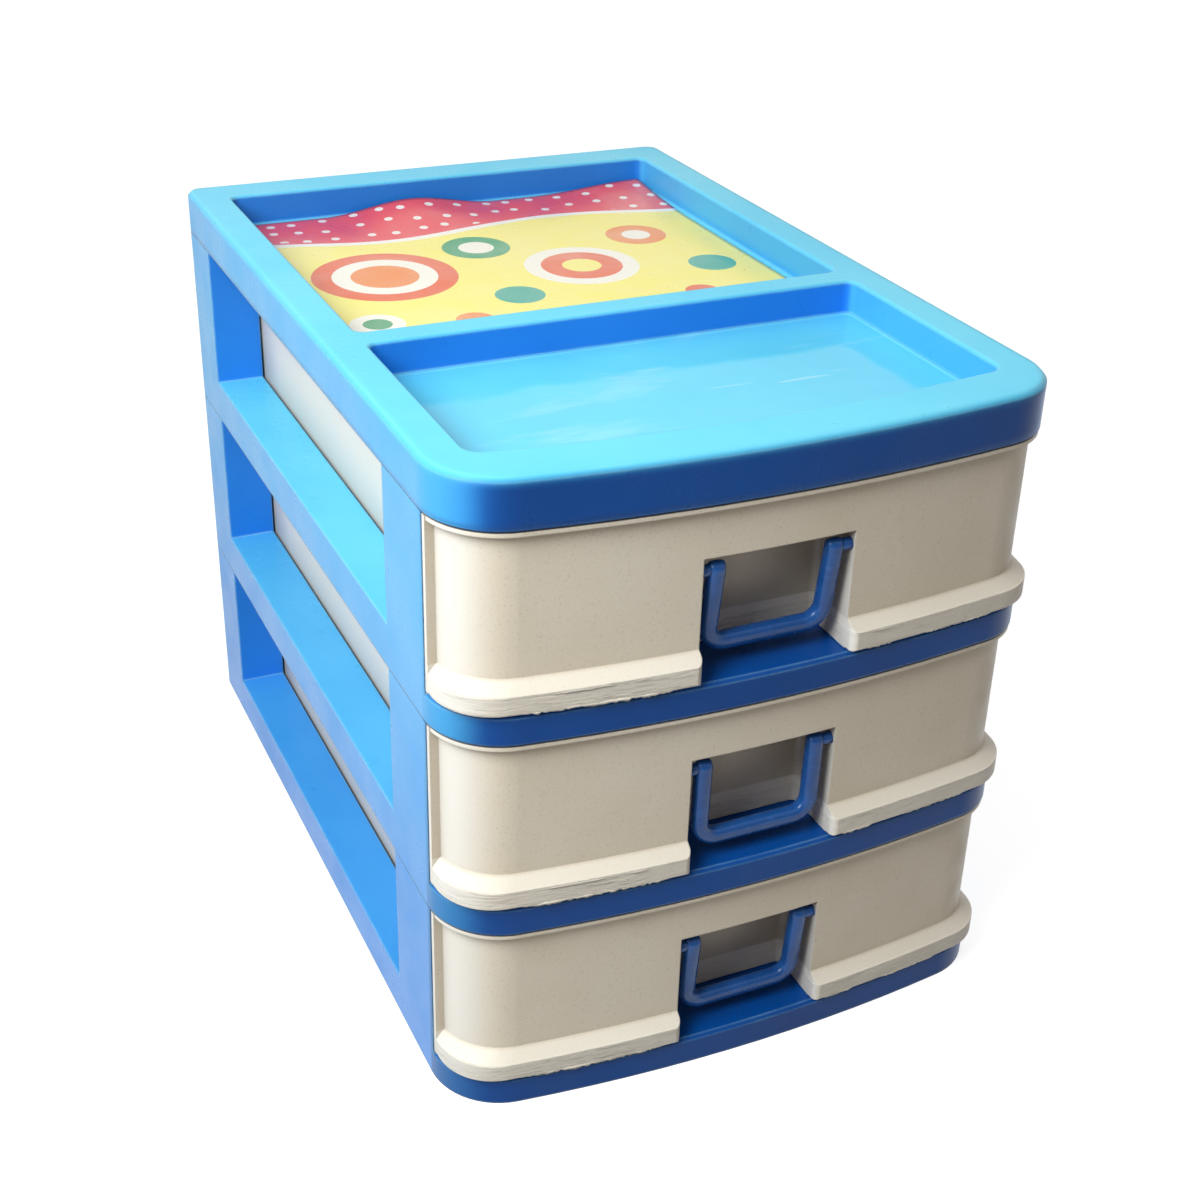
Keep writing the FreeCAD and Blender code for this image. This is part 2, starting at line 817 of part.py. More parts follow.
def add_finger_pocket(body):
    """Recess for the bail, open at the front and at the bottom, with its own walls inside."""
    wall = size.drawer_wall
    corner = size.pocket_corner_radius
    pocket_back = face_front + size.pocket_depth
    shell_half = pocket_half + wall
    shell_front = face_front + wall / 2
    housing = Profile(body, "pocket_housing")
    housing.square_cornered(
        [
            (-shell_half, shell_front, None),
            (shell_half, shell_front, None),
            (shell_half, pocket_back + wall, corner + wall),
            (-shell_half, pocket_back + wall, corner + wall),
        ]
    )
    pad(body, housing, size.pocket_height + wall)

    # In front of the lip's ends the outline turns outwards, which rounds those ends.
    recess = Profile(body, "finger_recess")
    mouth = lip_front - PAST
    mouth_half = pocket_half + size.lip_end_radius + PAST
    recess.square_cornered(
        [
            (-mouth_half, mouth, None),
            (mouth_half, mouth, None),
            (mouth_half, lip_end, None),
            (pocket_half, lip_end, size.lip_end_radius),
            (pocket_half, pocket_back, corner),
            (-pocket_half, pocket_back, corner),
            (-pocket_half, lip_end, size.lip_end_radius),
            (-mouth_half, lip_end, None),
        ]
    )
    cut_up(body, recess, size.pocket_height)

    holes = Profile(body, "pin_holes", "YZ_Plane")
    holes.circle(pivot_y, pivot_z, size.pin_diameter / 2 + size.pin_clearance)
    cut_down(body, holes, shell_half * 2, both=True)


def make_handle(name, level, lean):
    """U-shaped bail, bevelled in front, with two pins; its local origin is the pin axis."""
    body = new_body(
        name,
        size.module_pitch * level + size.band_height + size.drawer_lift + pivot_z,
        rear_y + pivot_y,
    )
    pin_axis = "create(<<vector>>; 1; 0; 0)"
    turn = f"create(<<rotation>>; {pin_axis}; {lean.formula})"
    body.setExpression("Placement.Rotation", turn)
    half_thick = size.handle_thickness / 2
    bottom = size.handle_floor_gap - pivot_z
    inner = handle_half - size.handle_leg

    bail = Profile(body, "bail", "XZ_Plane")
    bail.square_cornered(
        [
            (-handle_half, bottom, size.handle_outer_radius),
            (handle_half, bottom, size.handle_outer_radius),
            (handle_half, half_thick, None),
            (inner, half_thick, None),
            (inner, bottom + size.handle_bar, size.handle_inner_radius),
            (-inner, bottom + size.handle_bar, size.handle_inner_radius),
            (-inner, half_thick, None),
            (-handle_half, half_thick, None),
        ]
    )
    pad(body, bail, size.handle_thickness, both=True)
    chamfer(
        body,
        "bail_edges",
        edges_where(body, lambda p: abs(p.y + half_thick.value) < TOLERANCE),
        size.handle_edge_chamfer,
    )

    for side in (1, -1):
        start = handle_half - PAST
        pin = Profile(body, "pin_right" if side > 0 else "pin_left", "YZ_Plane", start * side)
        pin.circle(ZERO, ZERO, size.pin_diameter / 2)
        end = pocket_half + size.drawer_wall - size.pin_end_gap
        pad(body, pin, end - start, back=side < 0)
    return body


def hump(place, middle, width):
    """A smooth raised-cosine hump of height 1 over the given width, and 0 outside it."""
    share = (place - middle) / width
    return (1 + math.cos(2 * math.pi * share)) / 2 if abs(share) < 0.5 else 0


def make_card():
    """Thin card that lies on the rear tray's floor; its rear edge curls up in a wave."""
    floor_inset = size.tray_floor_chamfer.value
    half = tray_half.value - floor_inset - size.card_side_gap.value
    back = -size.tray_rear_rim.value - floor_inset - size.card_edge_gap.value
    front = rear_tray_front.value + floor_inset + size.card_edge_gap.value
    curl_length = size.card_curl_length.value
    knee = back - curl_length

    def lift(x, y):
        wave = size.card_wave_height.value * hump(
            x, size.card_wave_place.value, size.card_wave_width.value
        )
        corner = size.card_corner_lift.value * hump(x, half, size.card_corner_width.value * 2)
        rise = max(0, (y - knee) / curl_length)
        return size.card_floor_gap.value + (wave + corner) * rise ** 2

    across = [half * step / 10 for step in range(-10, 11)]
    along = [knee + curl_length * step / 8 for step in range(9)]
    surface = Part.BSplineSurface()
    surface.interpolate([[Vector(x, y, lift(x, y)) for y in along] for x in across])
    thick = size.card_thickness.value
    curl = surface.toShape().extrude(Vector(0, 0, thick))
    corner = Vector(-half, front, size.card_floor_gap.value)
    flat = Part.makeBox(half * 2, knee - front, thick, corner)
    feature = document.addObject("Part::Feature", "label_card")
    feature.Label = "label_card"
    feature.Shape = flat.fuse(curl)
    tray_floor = stack_height + size.cover_height - size.tray_depth
    feature.Placement = Placement(Vector(0, rear_y.value, tray_floor.value), Rotation())
    return feature


def make_all():
    leans = {
        "bottom": size.lean_bottom_angle,
        "middle": size.lean_middle_angle,
        "top": size.lean_top_angle,
    }
    sub_parts = [make_cover(), make_card()]
    for level, place in enumerate(DRAWERS):
        sub_parts.append(make_module(f"module_{place}", level))
        sub_parts.append(make_drawer(f"drawer_{place}", level))
        sub_parts.append(make_handle(f"handle_{place}", level, leans[place]))
    return sub_parts


def write_steps(sub_parts):
    document.recompute()
    for thing in document.Objects:
        if "Invalid" in thing.State or "Error" in thing.State:
            raise RuntimeError(f"{thing.Name} failed: {thing.State}")
    os.makedirs("parts", exist_ok=True)
    for part in sub_parts:
        shape = part.Shape
        if shape.isNull() or not shape.isValid() or len(shape.Solids) != 1:
            raise RuntimeError(f"{part.Label} is not one valid solid")
        shape.exportStep(os.path.join("parts", f"{part.Label}.step"))
        box = shape.BoundBox
        print(f"{part.Label}: {box.XLength:.2f} x {box.YLength:.2f} x {box.ZLength:.2f} mm")


write_steps(make_all())
travel = tab_front.value - post_back.value - size.stop_clearance.value
print(f"drawer travel {travel:.1f} mm")
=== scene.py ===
"""Looks of the craft storage box: materials, bail handles, mould flash, card and lighting."""

import json
import math
import random

import bpy
from mathutils import Euler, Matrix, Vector


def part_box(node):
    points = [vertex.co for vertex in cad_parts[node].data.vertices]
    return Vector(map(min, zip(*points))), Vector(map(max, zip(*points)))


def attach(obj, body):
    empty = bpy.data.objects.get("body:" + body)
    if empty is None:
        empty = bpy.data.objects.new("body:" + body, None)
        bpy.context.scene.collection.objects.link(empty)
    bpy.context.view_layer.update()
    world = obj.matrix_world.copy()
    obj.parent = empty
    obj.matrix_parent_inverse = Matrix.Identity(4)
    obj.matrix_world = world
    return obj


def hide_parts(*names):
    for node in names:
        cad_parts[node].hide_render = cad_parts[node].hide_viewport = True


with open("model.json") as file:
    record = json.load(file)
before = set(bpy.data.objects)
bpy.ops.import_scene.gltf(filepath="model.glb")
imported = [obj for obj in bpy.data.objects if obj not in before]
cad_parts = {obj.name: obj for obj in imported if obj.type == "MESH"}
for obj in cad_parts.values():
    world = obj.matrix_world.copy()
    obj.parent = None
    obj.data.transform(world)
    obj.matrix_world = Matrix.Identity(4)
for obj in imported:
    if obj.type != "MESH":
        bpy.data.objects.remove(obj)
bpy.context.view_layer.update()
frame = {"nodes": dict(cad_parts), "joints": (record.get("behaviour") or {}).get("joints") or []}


def colour(red, green, blue):
    return (red, green, blue, 1.0)


MM = 0.001
LEVELS = ("bottom", "middle", "top")
JOINTS = {joint["name"]: joint for joint in frame["joints"]}
WHITE = colour(1.0, 1.0, 1.0)

# Camera, at the photograph's viewpoint: metres, degrees, and millimetres for lens and sensor
CAMERA_PLACE = (-0.2176, -0.4827, 0.3745)
CAMERA_TURN = (61.27, -1.47, -24.45)
CAMERA_LENS = 54.07
SENSOR_WIDTH = 36.0
NEAREST_VIEW = 10.0 * MM

# Lamps: places in metres, the key lamp's power in watts, the overhead lamp's strength in watts
# per square metre and its softness in degrees
KEY_PLACE = (-0.47, -0.26, 0.57)
KEY_AIM = (0.0, 0.0, 0.12)
KEY_WIDTH = 420.0 * MM
KEY_POWER = 4.8
KEY_TINT = (0.95, 1.0, 1.0)
OVERHEAD_FROM = (0.05, 0.30, 0.95)
OVERHEAD_STRENGTH = 0.5
OVERHEAD_SOFTNESS = 50.0

# Surroundings: how strong they are as soft light, and in reflections of the viewer's side.
# A limit is a direction's Y, from -1 towards the viewer's side to 1 away from it.
AMBIENT = 0.36
FRONT_AMBIENT = 0.20
FRONT_REFLECTED = 0.18
AMBIENT_TINT = colour(1.0, 0.955, 0.90)
FRONT_LIMIT = -0.9
AMBIENT_LIMIT = 0.1
REFLECTED_LIMIT = -0.2

# Floor: how it throws light back, and how it looks to the camera and in reflections
FLOOR_REACH = 6.0
FLOOR_BOUNCE = colour(0.30, 0.30, 0.30)
FLOOR_SEEN = colour(0.50, 0.50, 0.50)
FLOOR_GLOW = 0.80
FLOOR_ROUGHNESS = 0.9

# Blue plastic: a pair holds the two shades that the flow clouds mix
WALL_BLUES = (colour(0.030, 0.255, 0.82), colour(0.022, 0.225, 0.76))
# Painted shade: a darker copy of the wall blues for faces to the front and beneath the cover
SHADED_FRONT_BLUES = (colour(0.002, 0.078, 0.350), colour(0.002, 0.065, 0.305))
# Painted light: a paler copy of the wall blues for faces to the sides
LIT_FLANK_BLUES = (colour(0.085, 0.47, 0.88), colour(0.065, 0.42, 0.85))
# Painted light: the palest copy of the wall blues for faces on top
LIT_TOP_BLUES = (colour(0.155, 0.70, 0.93), colour(0.12, 0.64, 0.91))
HANDLE_BLUES = (colour(0.018, 0.108, 0.38), colour(0.012, 0.080, 0.30))
# Pale edges: partly wear, partly painted highlight
WORN_AND_HIGHLIGHT_BLUE = colour(0.42, 0.80, 0.97)
# Painted shade in the gap where one moulding stands on the next
SEAM_SHADE_BLUE = colour(0.012, 0.075, 0.27)
# Pale streaks on the tray floor: partly scratches, partly painted reflection
SCRATCH_AND_REFLECTION_BLUE = colour(0.50, 0.84, 0.97)
RUBBED_BLUE = colour(0.055, 0.22, 0.57)
FRAME_SPECULAR = 0.18
HANDLE_SPECULAR = 0.36

# Beige plastic
BEIGES = (colour(0.87, 0.772, 0.635), colour(0.83, 0.722, 0.575))
SPECKLE_BROWN = colour(0.52, 0.44, 0.35)
# Painted light on the drawers' sides
LIT_FLANK_BEIGE = colour(0.96, 0.93, 0.89)
# Pale edges: partly wear, partly painted highlight
WORN_AND_HIGHLIGHT_BEIGE = colour(0.93, 0.88, 0.80)
# Painted highlight on the lip's slope and the flange
HIGHLIGHT_BEIGE = colour(0.97, 0.925, 0.85)
# Painted shade in recesses
RECESS_SHADE_BROWN = colour(0.28, 0.225, 0.165)
SCAR_BROWN = colour(0.50, 0.43, 0.34)
DRAWER_SPECULAR = 0.35

# Inks of the card
YELLOW = colour(0.97, 0.86, 0.20)
RED = colour(0.80, 0.13, 0.03)
ORANGE = colour(0.86, 0.26, 0.04)
GREEN = colour(0.03, 0.33, 0.13)
TEAL = colour(0.05, 0.40, 0.30)
CREAM = colour(0.95, 0.91, 0.80)
LINE_CREAM = colour(0.95, 0.92, 0.85)
BAND_RED = colour(0.82, 0.09, 0.10)
DOT_CREAM = colour(0.93, 0.86, 0.80)
FADED_YELLOW = colour(0.95, 0.90, 0.72)

# Places and sizes on the blue mouldings that their material follows
MODULE_PITCH = 60.8 * MM
SEAM_HALF = 0.22 * MM
EDGE_SOFTNESS = 1.1 * MM
COVER_SOFTNESS = 3.2 * MM
COVER_RIM = 8.0 * MM
COVER_FRONT_RIM = 12.0 * MM
COVER_START = 0.5 * MM
FRONT_ZONE = 26.0 * MM
# Painted shade lower down: the painted light on flanks and tops fades below this height, to its
# lowest share at the floor
FULL_LIGHT_HEIGHT = 170.0 * MM
LOWEST_LIT_SHARE = 0.22
TRAY_DEPTH = 10.5 * MM
TRAY_RIPPLE = 1.4 * MM
TRAY_SIDE_RIM = 12.2 * MM
TRAY_FRONT_RIM = 17.0 * MM
REAR_TRAY_FRONT = 160.0 * MM

# Places and sizes on the drawers that their material follows
DRAWER_SOFTNESS = 0.5 * MM
# Reach of the painted shade in recesses
RECESS_DEPTH = 20.0 * MM
LIP_FACE_TOP = 6.1 * MM
# Painted highlight on the lip's slope up to this height, and on the flange between the two depths
# below the drawer's top
LIP_SLOPE_TOP = 8.6 * MM
LIP_REACH = 26.0 * MM
FLANGE_HIGH = 1.1 * MM
FLANGE_LOW = 1.5 * MM

# Bail handle: its section, corners and pins, and the angle at which it stops
HANDLE_HALF = 19.9 * MM
HANDLE_LEG = 5.0 * MM
HANDLE_THICKNESS = 4.6 * MM
HANDLE_EDGE = 1.9 * MM
HANDLE_OUTER_RADIUS = 8.0 * MM
HANDLE_LIMIT = 95.0
HANDLE_CORNER_STEPS = 10
LEG_CAP_STEPS = 6
LEG_CAP_THINNEST = 0.06
LEG_CAP_TAPER = 0.35
PIN_RADIUS = 1.7 * MM
PIN_TIP = 0.4 * MM
PIN_TIP_SHARE = 0.8
PIN_SIDES = 20

# Mould flash along the drawers' lips
LIP_BOW = 531.3 * MM
POCKET_HALF = 22.3 * MM
FLASH_STEP = 0.7 * MM
FLASH_PROUD = 0.5 * MM
FLASH_DROOP = 0.7 * MM
FLASH_THICKNESS = 0.5 * MM
FLASH_ROOT = 0.6 * MM
FLASH_START = 0.5
FLASH_LEAST = 0.05
FLASH_CHANGE = 0.4
FLASH_FADE = 9
# Each stretch: left end, right end, height over the drawer's underside, and scale
FLASH_STRETCHES = (
    (-72.0 * MM, -28.0 * MM, 0.8 * MM, 1.0),
    (-66.0 * MM, -34.0 * MM, 5.5 * MM, 0.6),
    (-60.0 * MM, -44.0 * MM, 3.9 * MM, 0.4),
    (-56.0 * MM, -36.0 * MM, 2.4 * MM, 0.4),
    (25.5 * MM, 36.0 * MM, 0.8 * MM, 0.8),
    (28.0 * MM, 40.0 * MM, 5.5 * MM, 0.5),
    (46.0 * MM, 71.0 * MM, 0.8 * MM, 0.6),
)

# Label card: its sheet, and the two humps (middle, width and height) of its curled rear edge
CARD_THICKNESS = 0.4 * MM
CARD_COLUMNS = 90
CARD_ROWS = 80
CARD_CURL_LENGTH = 46.0 * MM
CARD_WAVE = (-14.0 * MM, 64.0 * MM, 3.9 * MM)
CARD_CORNER = (75.5 * MM, 88.0 * MM, 2.7 * MM)

# Print of the card: the red band in shares of the card's length, with its wave's turn over half
# the width in radians, and the dots in shares of their spacing
BAND_START = 0.80
BAND_WAVE = 0.035
BAND_TURN = 4.2
LINE_WIDTH = 0.022
DOT_MARGIN = 0.012
DOTS_PER_METRE = 100.0
DOT_SCATTER = 0.4
DOT_RADIUS = 0.15
CARD_COAT = 0.3
CARD_COAT_ROUGHNESS = 0.15
# Each disc: place from the card's middle, to the right and to the rear, radius and ink.
# A later disc covers an earlier one.
DISCS = (
    (-46.0 * MM, 1.0 * MM, 23.5 * MM, RED),
    (-46.0 * MM, 1.0 * MM, 17.0 * MM, CREAM),
    (-46.0 * MM, 1.0 * MM, 11.0 * MM, ORANGE),
    (-8.0 * MM, 19.0 * MM, 11.5 * MM, GREEN),
    (-8.0 * MM, 19.0 * MM, 6.0 * MM, CREAM),
    (18.0 * MM, -10.0 * MM, 19.0 * MM, CREAM),
    (18.0 * MM, -10.0 * MM, 13.5 * MM, RED),
    (18.0 * MM, -10.0 * MM, 6.5 * MM, YELLOW),
    (49.0 * MM, 14.0 * MM, 10.5 * MM, ORANGE),
    (49.0 * MM, 14.0 * MM, 5.0 * MM, CREAM),
    (60.0 * MM, -22.0 * MM, 8.0 * MM, TEAL),
    (44.0 * MM, -46.0 * MM, 5.5 * MM, RED),
    (-12.0 * MM, -30.0 * MM, 8.0 * MM, TEAL),
    (-33.0 * MM, -46.0 * MM, 6.0 * MM, ORANGE),
    (-62.0 * MM, -40.0 * MM, 8.5 * MM, CREAM),
    (-62.0 * MM, -40.0 * MM, 4.5 * MM, GREEN),
    (8.0 * MM, -50.0 * MM, 4.5 * MM, GREEN),
)

# Blender's Mix node: the numbers of its first input, second input and output
COLOUR_MIX = (6, 7, 2)
VECTOR_MIX = (4, 5, 1)


class Nodes:
    """Builds the node tree of a material or world, mostly by methods that return a socket."""

    def __init__(self, owner, shader):
        owner.use_nodes = True
        self.owner = owner
        self.tree = owner.node_tree
        self.shader = self.tree.nodes[shader]
        self.coordinates = self.add("ShaderNodeTexCoord").outputs

    def add(self, kind, **settings):
        node = self.tree.nodes.new(kind)
        for key, value in settings.items():
            setattr(node, key, value)
        return node

    def feed(self, socket, value):
        if isinstance(value, bpy.types.NodeSocket):
            self.tree.links.new(value, socket)
        else:
            socket.default_value = value

    def set(self, **values):
        """Feeds the shader's inputs, named with underscores for spaces."""
        for key, value in values.items():
            self.feed(self.shader.inputs[key.replace("_", " ")], value)

    def calc(self, operation, *values):
        node = self.add("ShaderNodeMath", operation=operation)
        for socket, value in zip(node.inputs, values):
            self.feed(socket, value)
        return node.outputs[0]

    def times(self, first, second):
        return self.calc("MULTIPLY", first, second)

    def larger(self, first, second):
        return self.calc("MAXIMUM", first, second)

    def above(self, value, limit):
        return self.calc("GREATER_THAN", value, limit)

    def below(self, value, limit):
        return self.calc("LESS_THAN", value, limit)

    def size(self, value):
        return self.calc("ABSOLUTE", value)

    def ramp(self, value, low, high, start=0.0, end=1.0, smooth=True):
        """From start to end as the value goes from low to high, and level outside."""
        node = self.add("ShaderNodeMapRange")
        node.interpolation_type = "SMOOTHSTEP" if smooth else "LINEAR"
        for socket, item in zip(node.inputs, (value, low, high, start, end)):
            self.feed(socket, item)
        return node.outputs["Result"]

    def band(self, value, low, high, soft):
        """1 where the value lies between low and high, fading to 0 over the soft width."""
        rise = self.ramp(value, low - soft, low)
        fall = self.ramp(value, high, high + soft, 1.0, 0.0)
        return self.times(rise, fall)

    def noise(self, scale, detail, roughness=0.5, stretch=(1, 1, 1), distortion=0.0):
        mapping = self.add("ShaderNodeMapping")
        self.feed(mapping.inputs["Vector"], self.coordinates["Object"])
        self.feed(mapping.inputs["Scale"], stretch)
        node = self.add("ShaderNodeTexNoise")
        self.feed(node.inputs["Vector"], mapping.outputs[0])
        self.feed(node.inputs["Scale"], scale)
        self.feed(node.inputs["Detail"], detail)
        self.feed(node.inputs["Roughness"], roughness)
        self.feed(node.inputs["Distortion"], distortion)
        return node.outputs["Fac"]

    def clouds(self, scale):
        """Soft clouds from 0 to 1, as melted plastic leaves them where it flows."""
        return self.ramp(self.noise(scale, detail=4.0, roughness=0.6), 0.3, 0.7)

    def mix(self, data_type, sockets, share, first, second):
        node = self.add("ShaderNodeMix", data_type=data_type)
        self.feed(node.inputs["Factor"], share)
        self.feed(node.inputs[sockets[0]], first)
        self.feed(node.inputs[sockets[1]], second)
        return node.outputs[sockets[2]]

    def blend(self, share, first, second):
        return self.mix("RGBA", COLOUR_MIX, share, first, second)

    def blend_normals(self, share, first, second):
        return self.mix("VECTOR", VECTOR_MIX, share, first, second)

    def parts(self, vector):
        """The vector's X, Y and Z."""
        node = self.add("ShaderNodeSeparateXYZ")
        self.feed(node.inputs[0], vector)
        return node.outputs

    def bump(self, height, distance, strength, normal=None):
        node = self.add("ShaderNodeBump")
        self.feed(node.inputs["Distance"], distance)
        self.feed(node.inputs["Strength"], strength)
        self.feed(node.inputs["Height"], height)
        if normal is not None:
            self.feed(node.inputs["Normal"], normal)
        return node.outputs[0]

    def soft_edges(self, radius):
        node = self.add("ShaderNodeBevel", samples=4)
        self.feed(node.inputs["Radius"], radius)
        return node.outputs[0]

    def edge_share(self, rounded):
        """1 along sharp edges and 0 on open faces, from a rounded normal."""
        geometry = self.add("ShaderNodeNewGeometry")
        node = self.add("ShaderNodeVectorMath", operation="DOT_PRODUCT")
        self.feed(node.inputs[0], rounded)
        self.feed(node.inputs[1], geometry.outputs["True Normal"])
        return self.ramp(node.outputs["Value"], 0.80, 0.99, 1.0, 0.0)

    def seen_directly(self):
        """1 for rays that show the background: from the camera, a reflection or a clear surface."""
        rays = self.add("ShaderNodeLightPath").outputs
        seen = self.larger(rays["Is Camera Ray"], rays["Is Glossy Ray"])
        return self.larger(seen, rays["Is Transmission Ray"])


def material_nodes(name):
    return Nodes(bpy.data.materials.new(name), "Principled BSDF")


def cover_rim(n, low, high):
    """1 along the cover's front and sides, whose edges are rounder than the rest."""
    x_axis, y_axis, z_axis = n.parts(n.coordinates["Object"])
    at_side = n.above(n.size(x_axis), high.x - COVER_RIM)
    at_front = n.below(y_axis, low.y + COVER_FRONT_RIM)
    on_cover = n.above(z_axis, low.z + COVER_START)
    return n.times(n.larger(at_side, at_front), on_cover)


def frame_paint(n, normal, low):
    """Blues by direction: navy painted shade to the front and beneath the cover, painted light on
    the sides and the strongest painted light on top, both fading lower down.
    """
    _, y_axis, z_axis = n.parts(n.coordinates["Object"])
    aside, ahead, upward = n.parts(normal)
    clouds = n.clouds(14.0)
    walls = n.blend(clouds, *WALL_BLUES)
    front = n.blend(clouds, *SHADED_FRONT_BLUES)
    lit_flanks = n.blend(clouds, *LIT_FLANK_BLUES)
    lit_tops = n.blend(clouds, *LIT_TOP_BLUES)
    outer_front = n.below(y_axis, low.y + FRONT_ZONE)
    below_cover = n.below(z_axis, low.z)
    # Painted shade: navy on faces to the front and on everything beneath the cover
    faces_front = n.larger(n.ramp(ahead, -0.99, -0.62, 1.0, 0.0), below_cover)
    paint = n.blend(n.times(outer_front, faces_front), walls, front)
    # Painted shade lower down: less of the painted light towards the bottom
    height = n.ramp(z_axis, 0.0, FULL_LIGHT_HEIGHT, LOWEST_LIT_SHARE, 1.0)
    faces_aside = n.ramp(n.size(aside), 0.45, 0.95)
    # Painted light on faces to the sides
    paint = n.blend(n.times(faces_aside, height), paint, lit_flanks)
    # Painted light on faces on top, except band tops beneath the cover, which keep the painted
    # shade
    open_above = n.calc("SUBTRACT", 1.0, n.times(outer_front, below_cover))
    faces_up = n.times(n.ramp(upward, 0.1, 0.95), open_above)
    return n.blend(n.times(faces_up, height), paint, lit_tops)


def frame_wear_highlight_and_seam_shade(n, paint, crisp):
    """Pale edges, partly wear and partly painted highlight, and a painted shade line where one
    moulding stands on the next.
    """
    _, _, z_axis = n.parts(n.coordinates["Object"])
    patches = n.ramp(n.noise(90.0, detail=4.0), 0.25, 0.75, 0.35, 0.75)
    # Pale edges, partly wear and partly painted highlight
    paint = n.blend(n.times(n.edge_share(crisp), patches), paint, WORN_AND_HIGHLIGHT_BLUE)
    # Painted shade line at each seam between mouldings
    from_seam = n.calc("PINGPONG", z_axis, MODULE_PITCH / 2)
    seam_shade = n.times(n.below(from_seam, SEAM_HALF), 0.75)
    return n.blend(seam_shade, paint, SEAM_SHADE_BLUE)


def front_tray(n, low, high):
    """1 on the floor of the cover's front tray."""
    x_axis, y_axis, z_axis = n.parts(n.coordinates["Object"])
    floor = high.z - TRAY_DEPTH
    on_floor = n.band(z_axis, floor - 0.4 * MM, floor + 0.4 * MM, 0.2 * MM)
    inside = n.below(n.size(x_axis), high.x - TRAY_SIDE_RIM)
    along = n.band(y_axis, low.y + TRAY_FRONT_RIM, high.y - REAR_TRAY_FRONT, 0.1 * MM)
    return n.times(on_floor, n.times(inside, along))


def frame_plastic(name):
    """Bright blue moulded plastic with painted light and shade by direction, pale edges of wear and
    painted highlight, painted shade along the seams, and a polished front tray with pale streaks,
    partly scratches and partly painted reflection.
    """
    n = material_nodes(name)
    low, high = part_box("top_cover")
    crisp = n.soft_edges(EDGE_SOFTNESS)
    rounded = n.blend_normals(cover_rim(n, low, high), crisp, n.soft_edges(COVER_SOFTNESS))
    paint = frame_wear_highlight_and_seam_shade(n, frame_paint(n, rounded, low), crisp)
    in_tray = front_tray(n, low, high)
    # Pale streaks and hairlines on the tray floor, partly scratches and partly painted reflection
    smears = n.noise(24.0, detail=5.0, roughness=0.62, stretch=(0.32, 1.5, 1), distortion=0.7)
    streaks = n.ramp(smears, 0.56, 0.68)
    threads = n.noise(40.0, detail=2.0, stretch=(0.16, 2.2, 1), distortion=2.2)
    hairlines = n.ramp(threads, 0.675, 0.70)
    scratch_and_reflection_marks = n.larger(n.times(streaks, 0.30), n.times(hairlines, 0.4))
    n.set(Base_Color=n.blend(n.times(scratch_and_reflection_marks, in_tray), paint, SCRATCH_AND_REFLECTION_BLUE))
    scuffs = n.ramp(n.noise(48.0, detail=4.0, roughness=0.6), 0.35, 0.75, 0.27, 0.37)
    polished = n.ramp(streaks, 0.0, 1.0, 0.10, 0.26)
    n.set(Roughness=n.ramp(in_tray, 0.0, 1.0, scuffs, polished, smooth=False))
    rough = n.bump(n.noise(600.0, detail=2.0), 0.02 * MM, 0.12, rounded)
    pooled = n.times(n.noise(27.0, detail=2.0, roughness=0.4), in_tray)
    wavy = n.bump(pooled, TRAY_RIPPLE, 0.7, rough)
    n.set(Normal=n.bump(n.noise(22.0, detail=2.0), 0.4 * MM, 0.15, wavy))
    n.set(Specular_IOR_Level=FRAME_SPECULAR)
    return n.owner


def handle_plastic(name):
    """Deeper blue glossy plastic with a faint sheen of use along the grip."""
    n = material_nodes(name)
    body = n.blend(n.clouds(120.0), *HANDLE_BLUES)
    grain = n.noise(420.0, detail=3.0, roughness=0.6, stretch=(0.3, 1, 1))
    rubbed = n.ramp(grain, 0.58, 0.72, 0.0, 0.18)
    n.set(Base_Color=n.blend(rubbed, body, RUBBED_BLUE))
    n.set(Roughness=n.ramp(n.noise(200.0, detail=4.0), 0.35, 0.7, 0.16, 0.30))
    n.set(Normal=n.bump(n.noise(160.0, detail=2.0), 0.06 * MM, 0.3))
    n.set(Specular_IOR_Level=HANDLE_SPECULAR)
    return n.owner


def drawer_paint(n, rounded, height, at_front):
    """Speckled beige, with painted light on the sides, pale edges of wear and painted highlight, a
    painted highlight on the lip's slope and the flange, and painted shade in its recesses.
    """
    low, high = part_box("drawer_bottom")
    body = n.blend(n.clouds(18.0), *BEIGES)
    speckle = n.ramp(n.noise(1400.0, detail=2.0, roughness=0.6), 0.55, 0.72, 0.0, 0.30)
    body = n.blend(speckle, body, SPECKLE_BROWN)
    aside, _, _ = n.parts(n.coordinates["Normal"])
    # Painted light: paler beige on faces to the sides
    lit_flank = n.ramp(n.size(aside), 0.35, 0.95, 0.0, 0.75)
    body = n.blend(lit_flank, body, LIT_FLANK_BEIGE)
    # Pale edges, partly wear and partly painted highlight
    body = n.blend(n.times(n.edge_share(rounded), 0.6), body, WORN_AND_HIGHLIGHT_BEIGE)
    # Painted shade wherever nearby parts close a surface in, as in the pocket and under the flange
    recess = n.add("ShaderNodeAmbientOcclusion", samples=6)
    n.feed(recess.inputs["Distance"], RECESS_DEPTH)
    recess_shade = n.ramp(recess.outputs["AO"], 0.25, 0.95, 0.72, 0.0, smooth=False)
    body = n.blend(recess_shade, body, RECESS_SHADE_BROWN)
    # Painted highlight on the flange and the lip's slope
    flange_top = high.z - low.z
    on_flange = n.ramp(height, flange_top - FLANGE_LOW, flange_top - FLANGE_HIGH)
    on_slope = n.band(height, 0.0, LIP_SLOPE_TOP, 0.6 * MM)
    painted_highlight = n.times(n.times(n.larger(on_slope, on_flange), at_front), 0.42)
    return n.blend(painted_highlight, body, HIGHLIGHT_BEIGE)


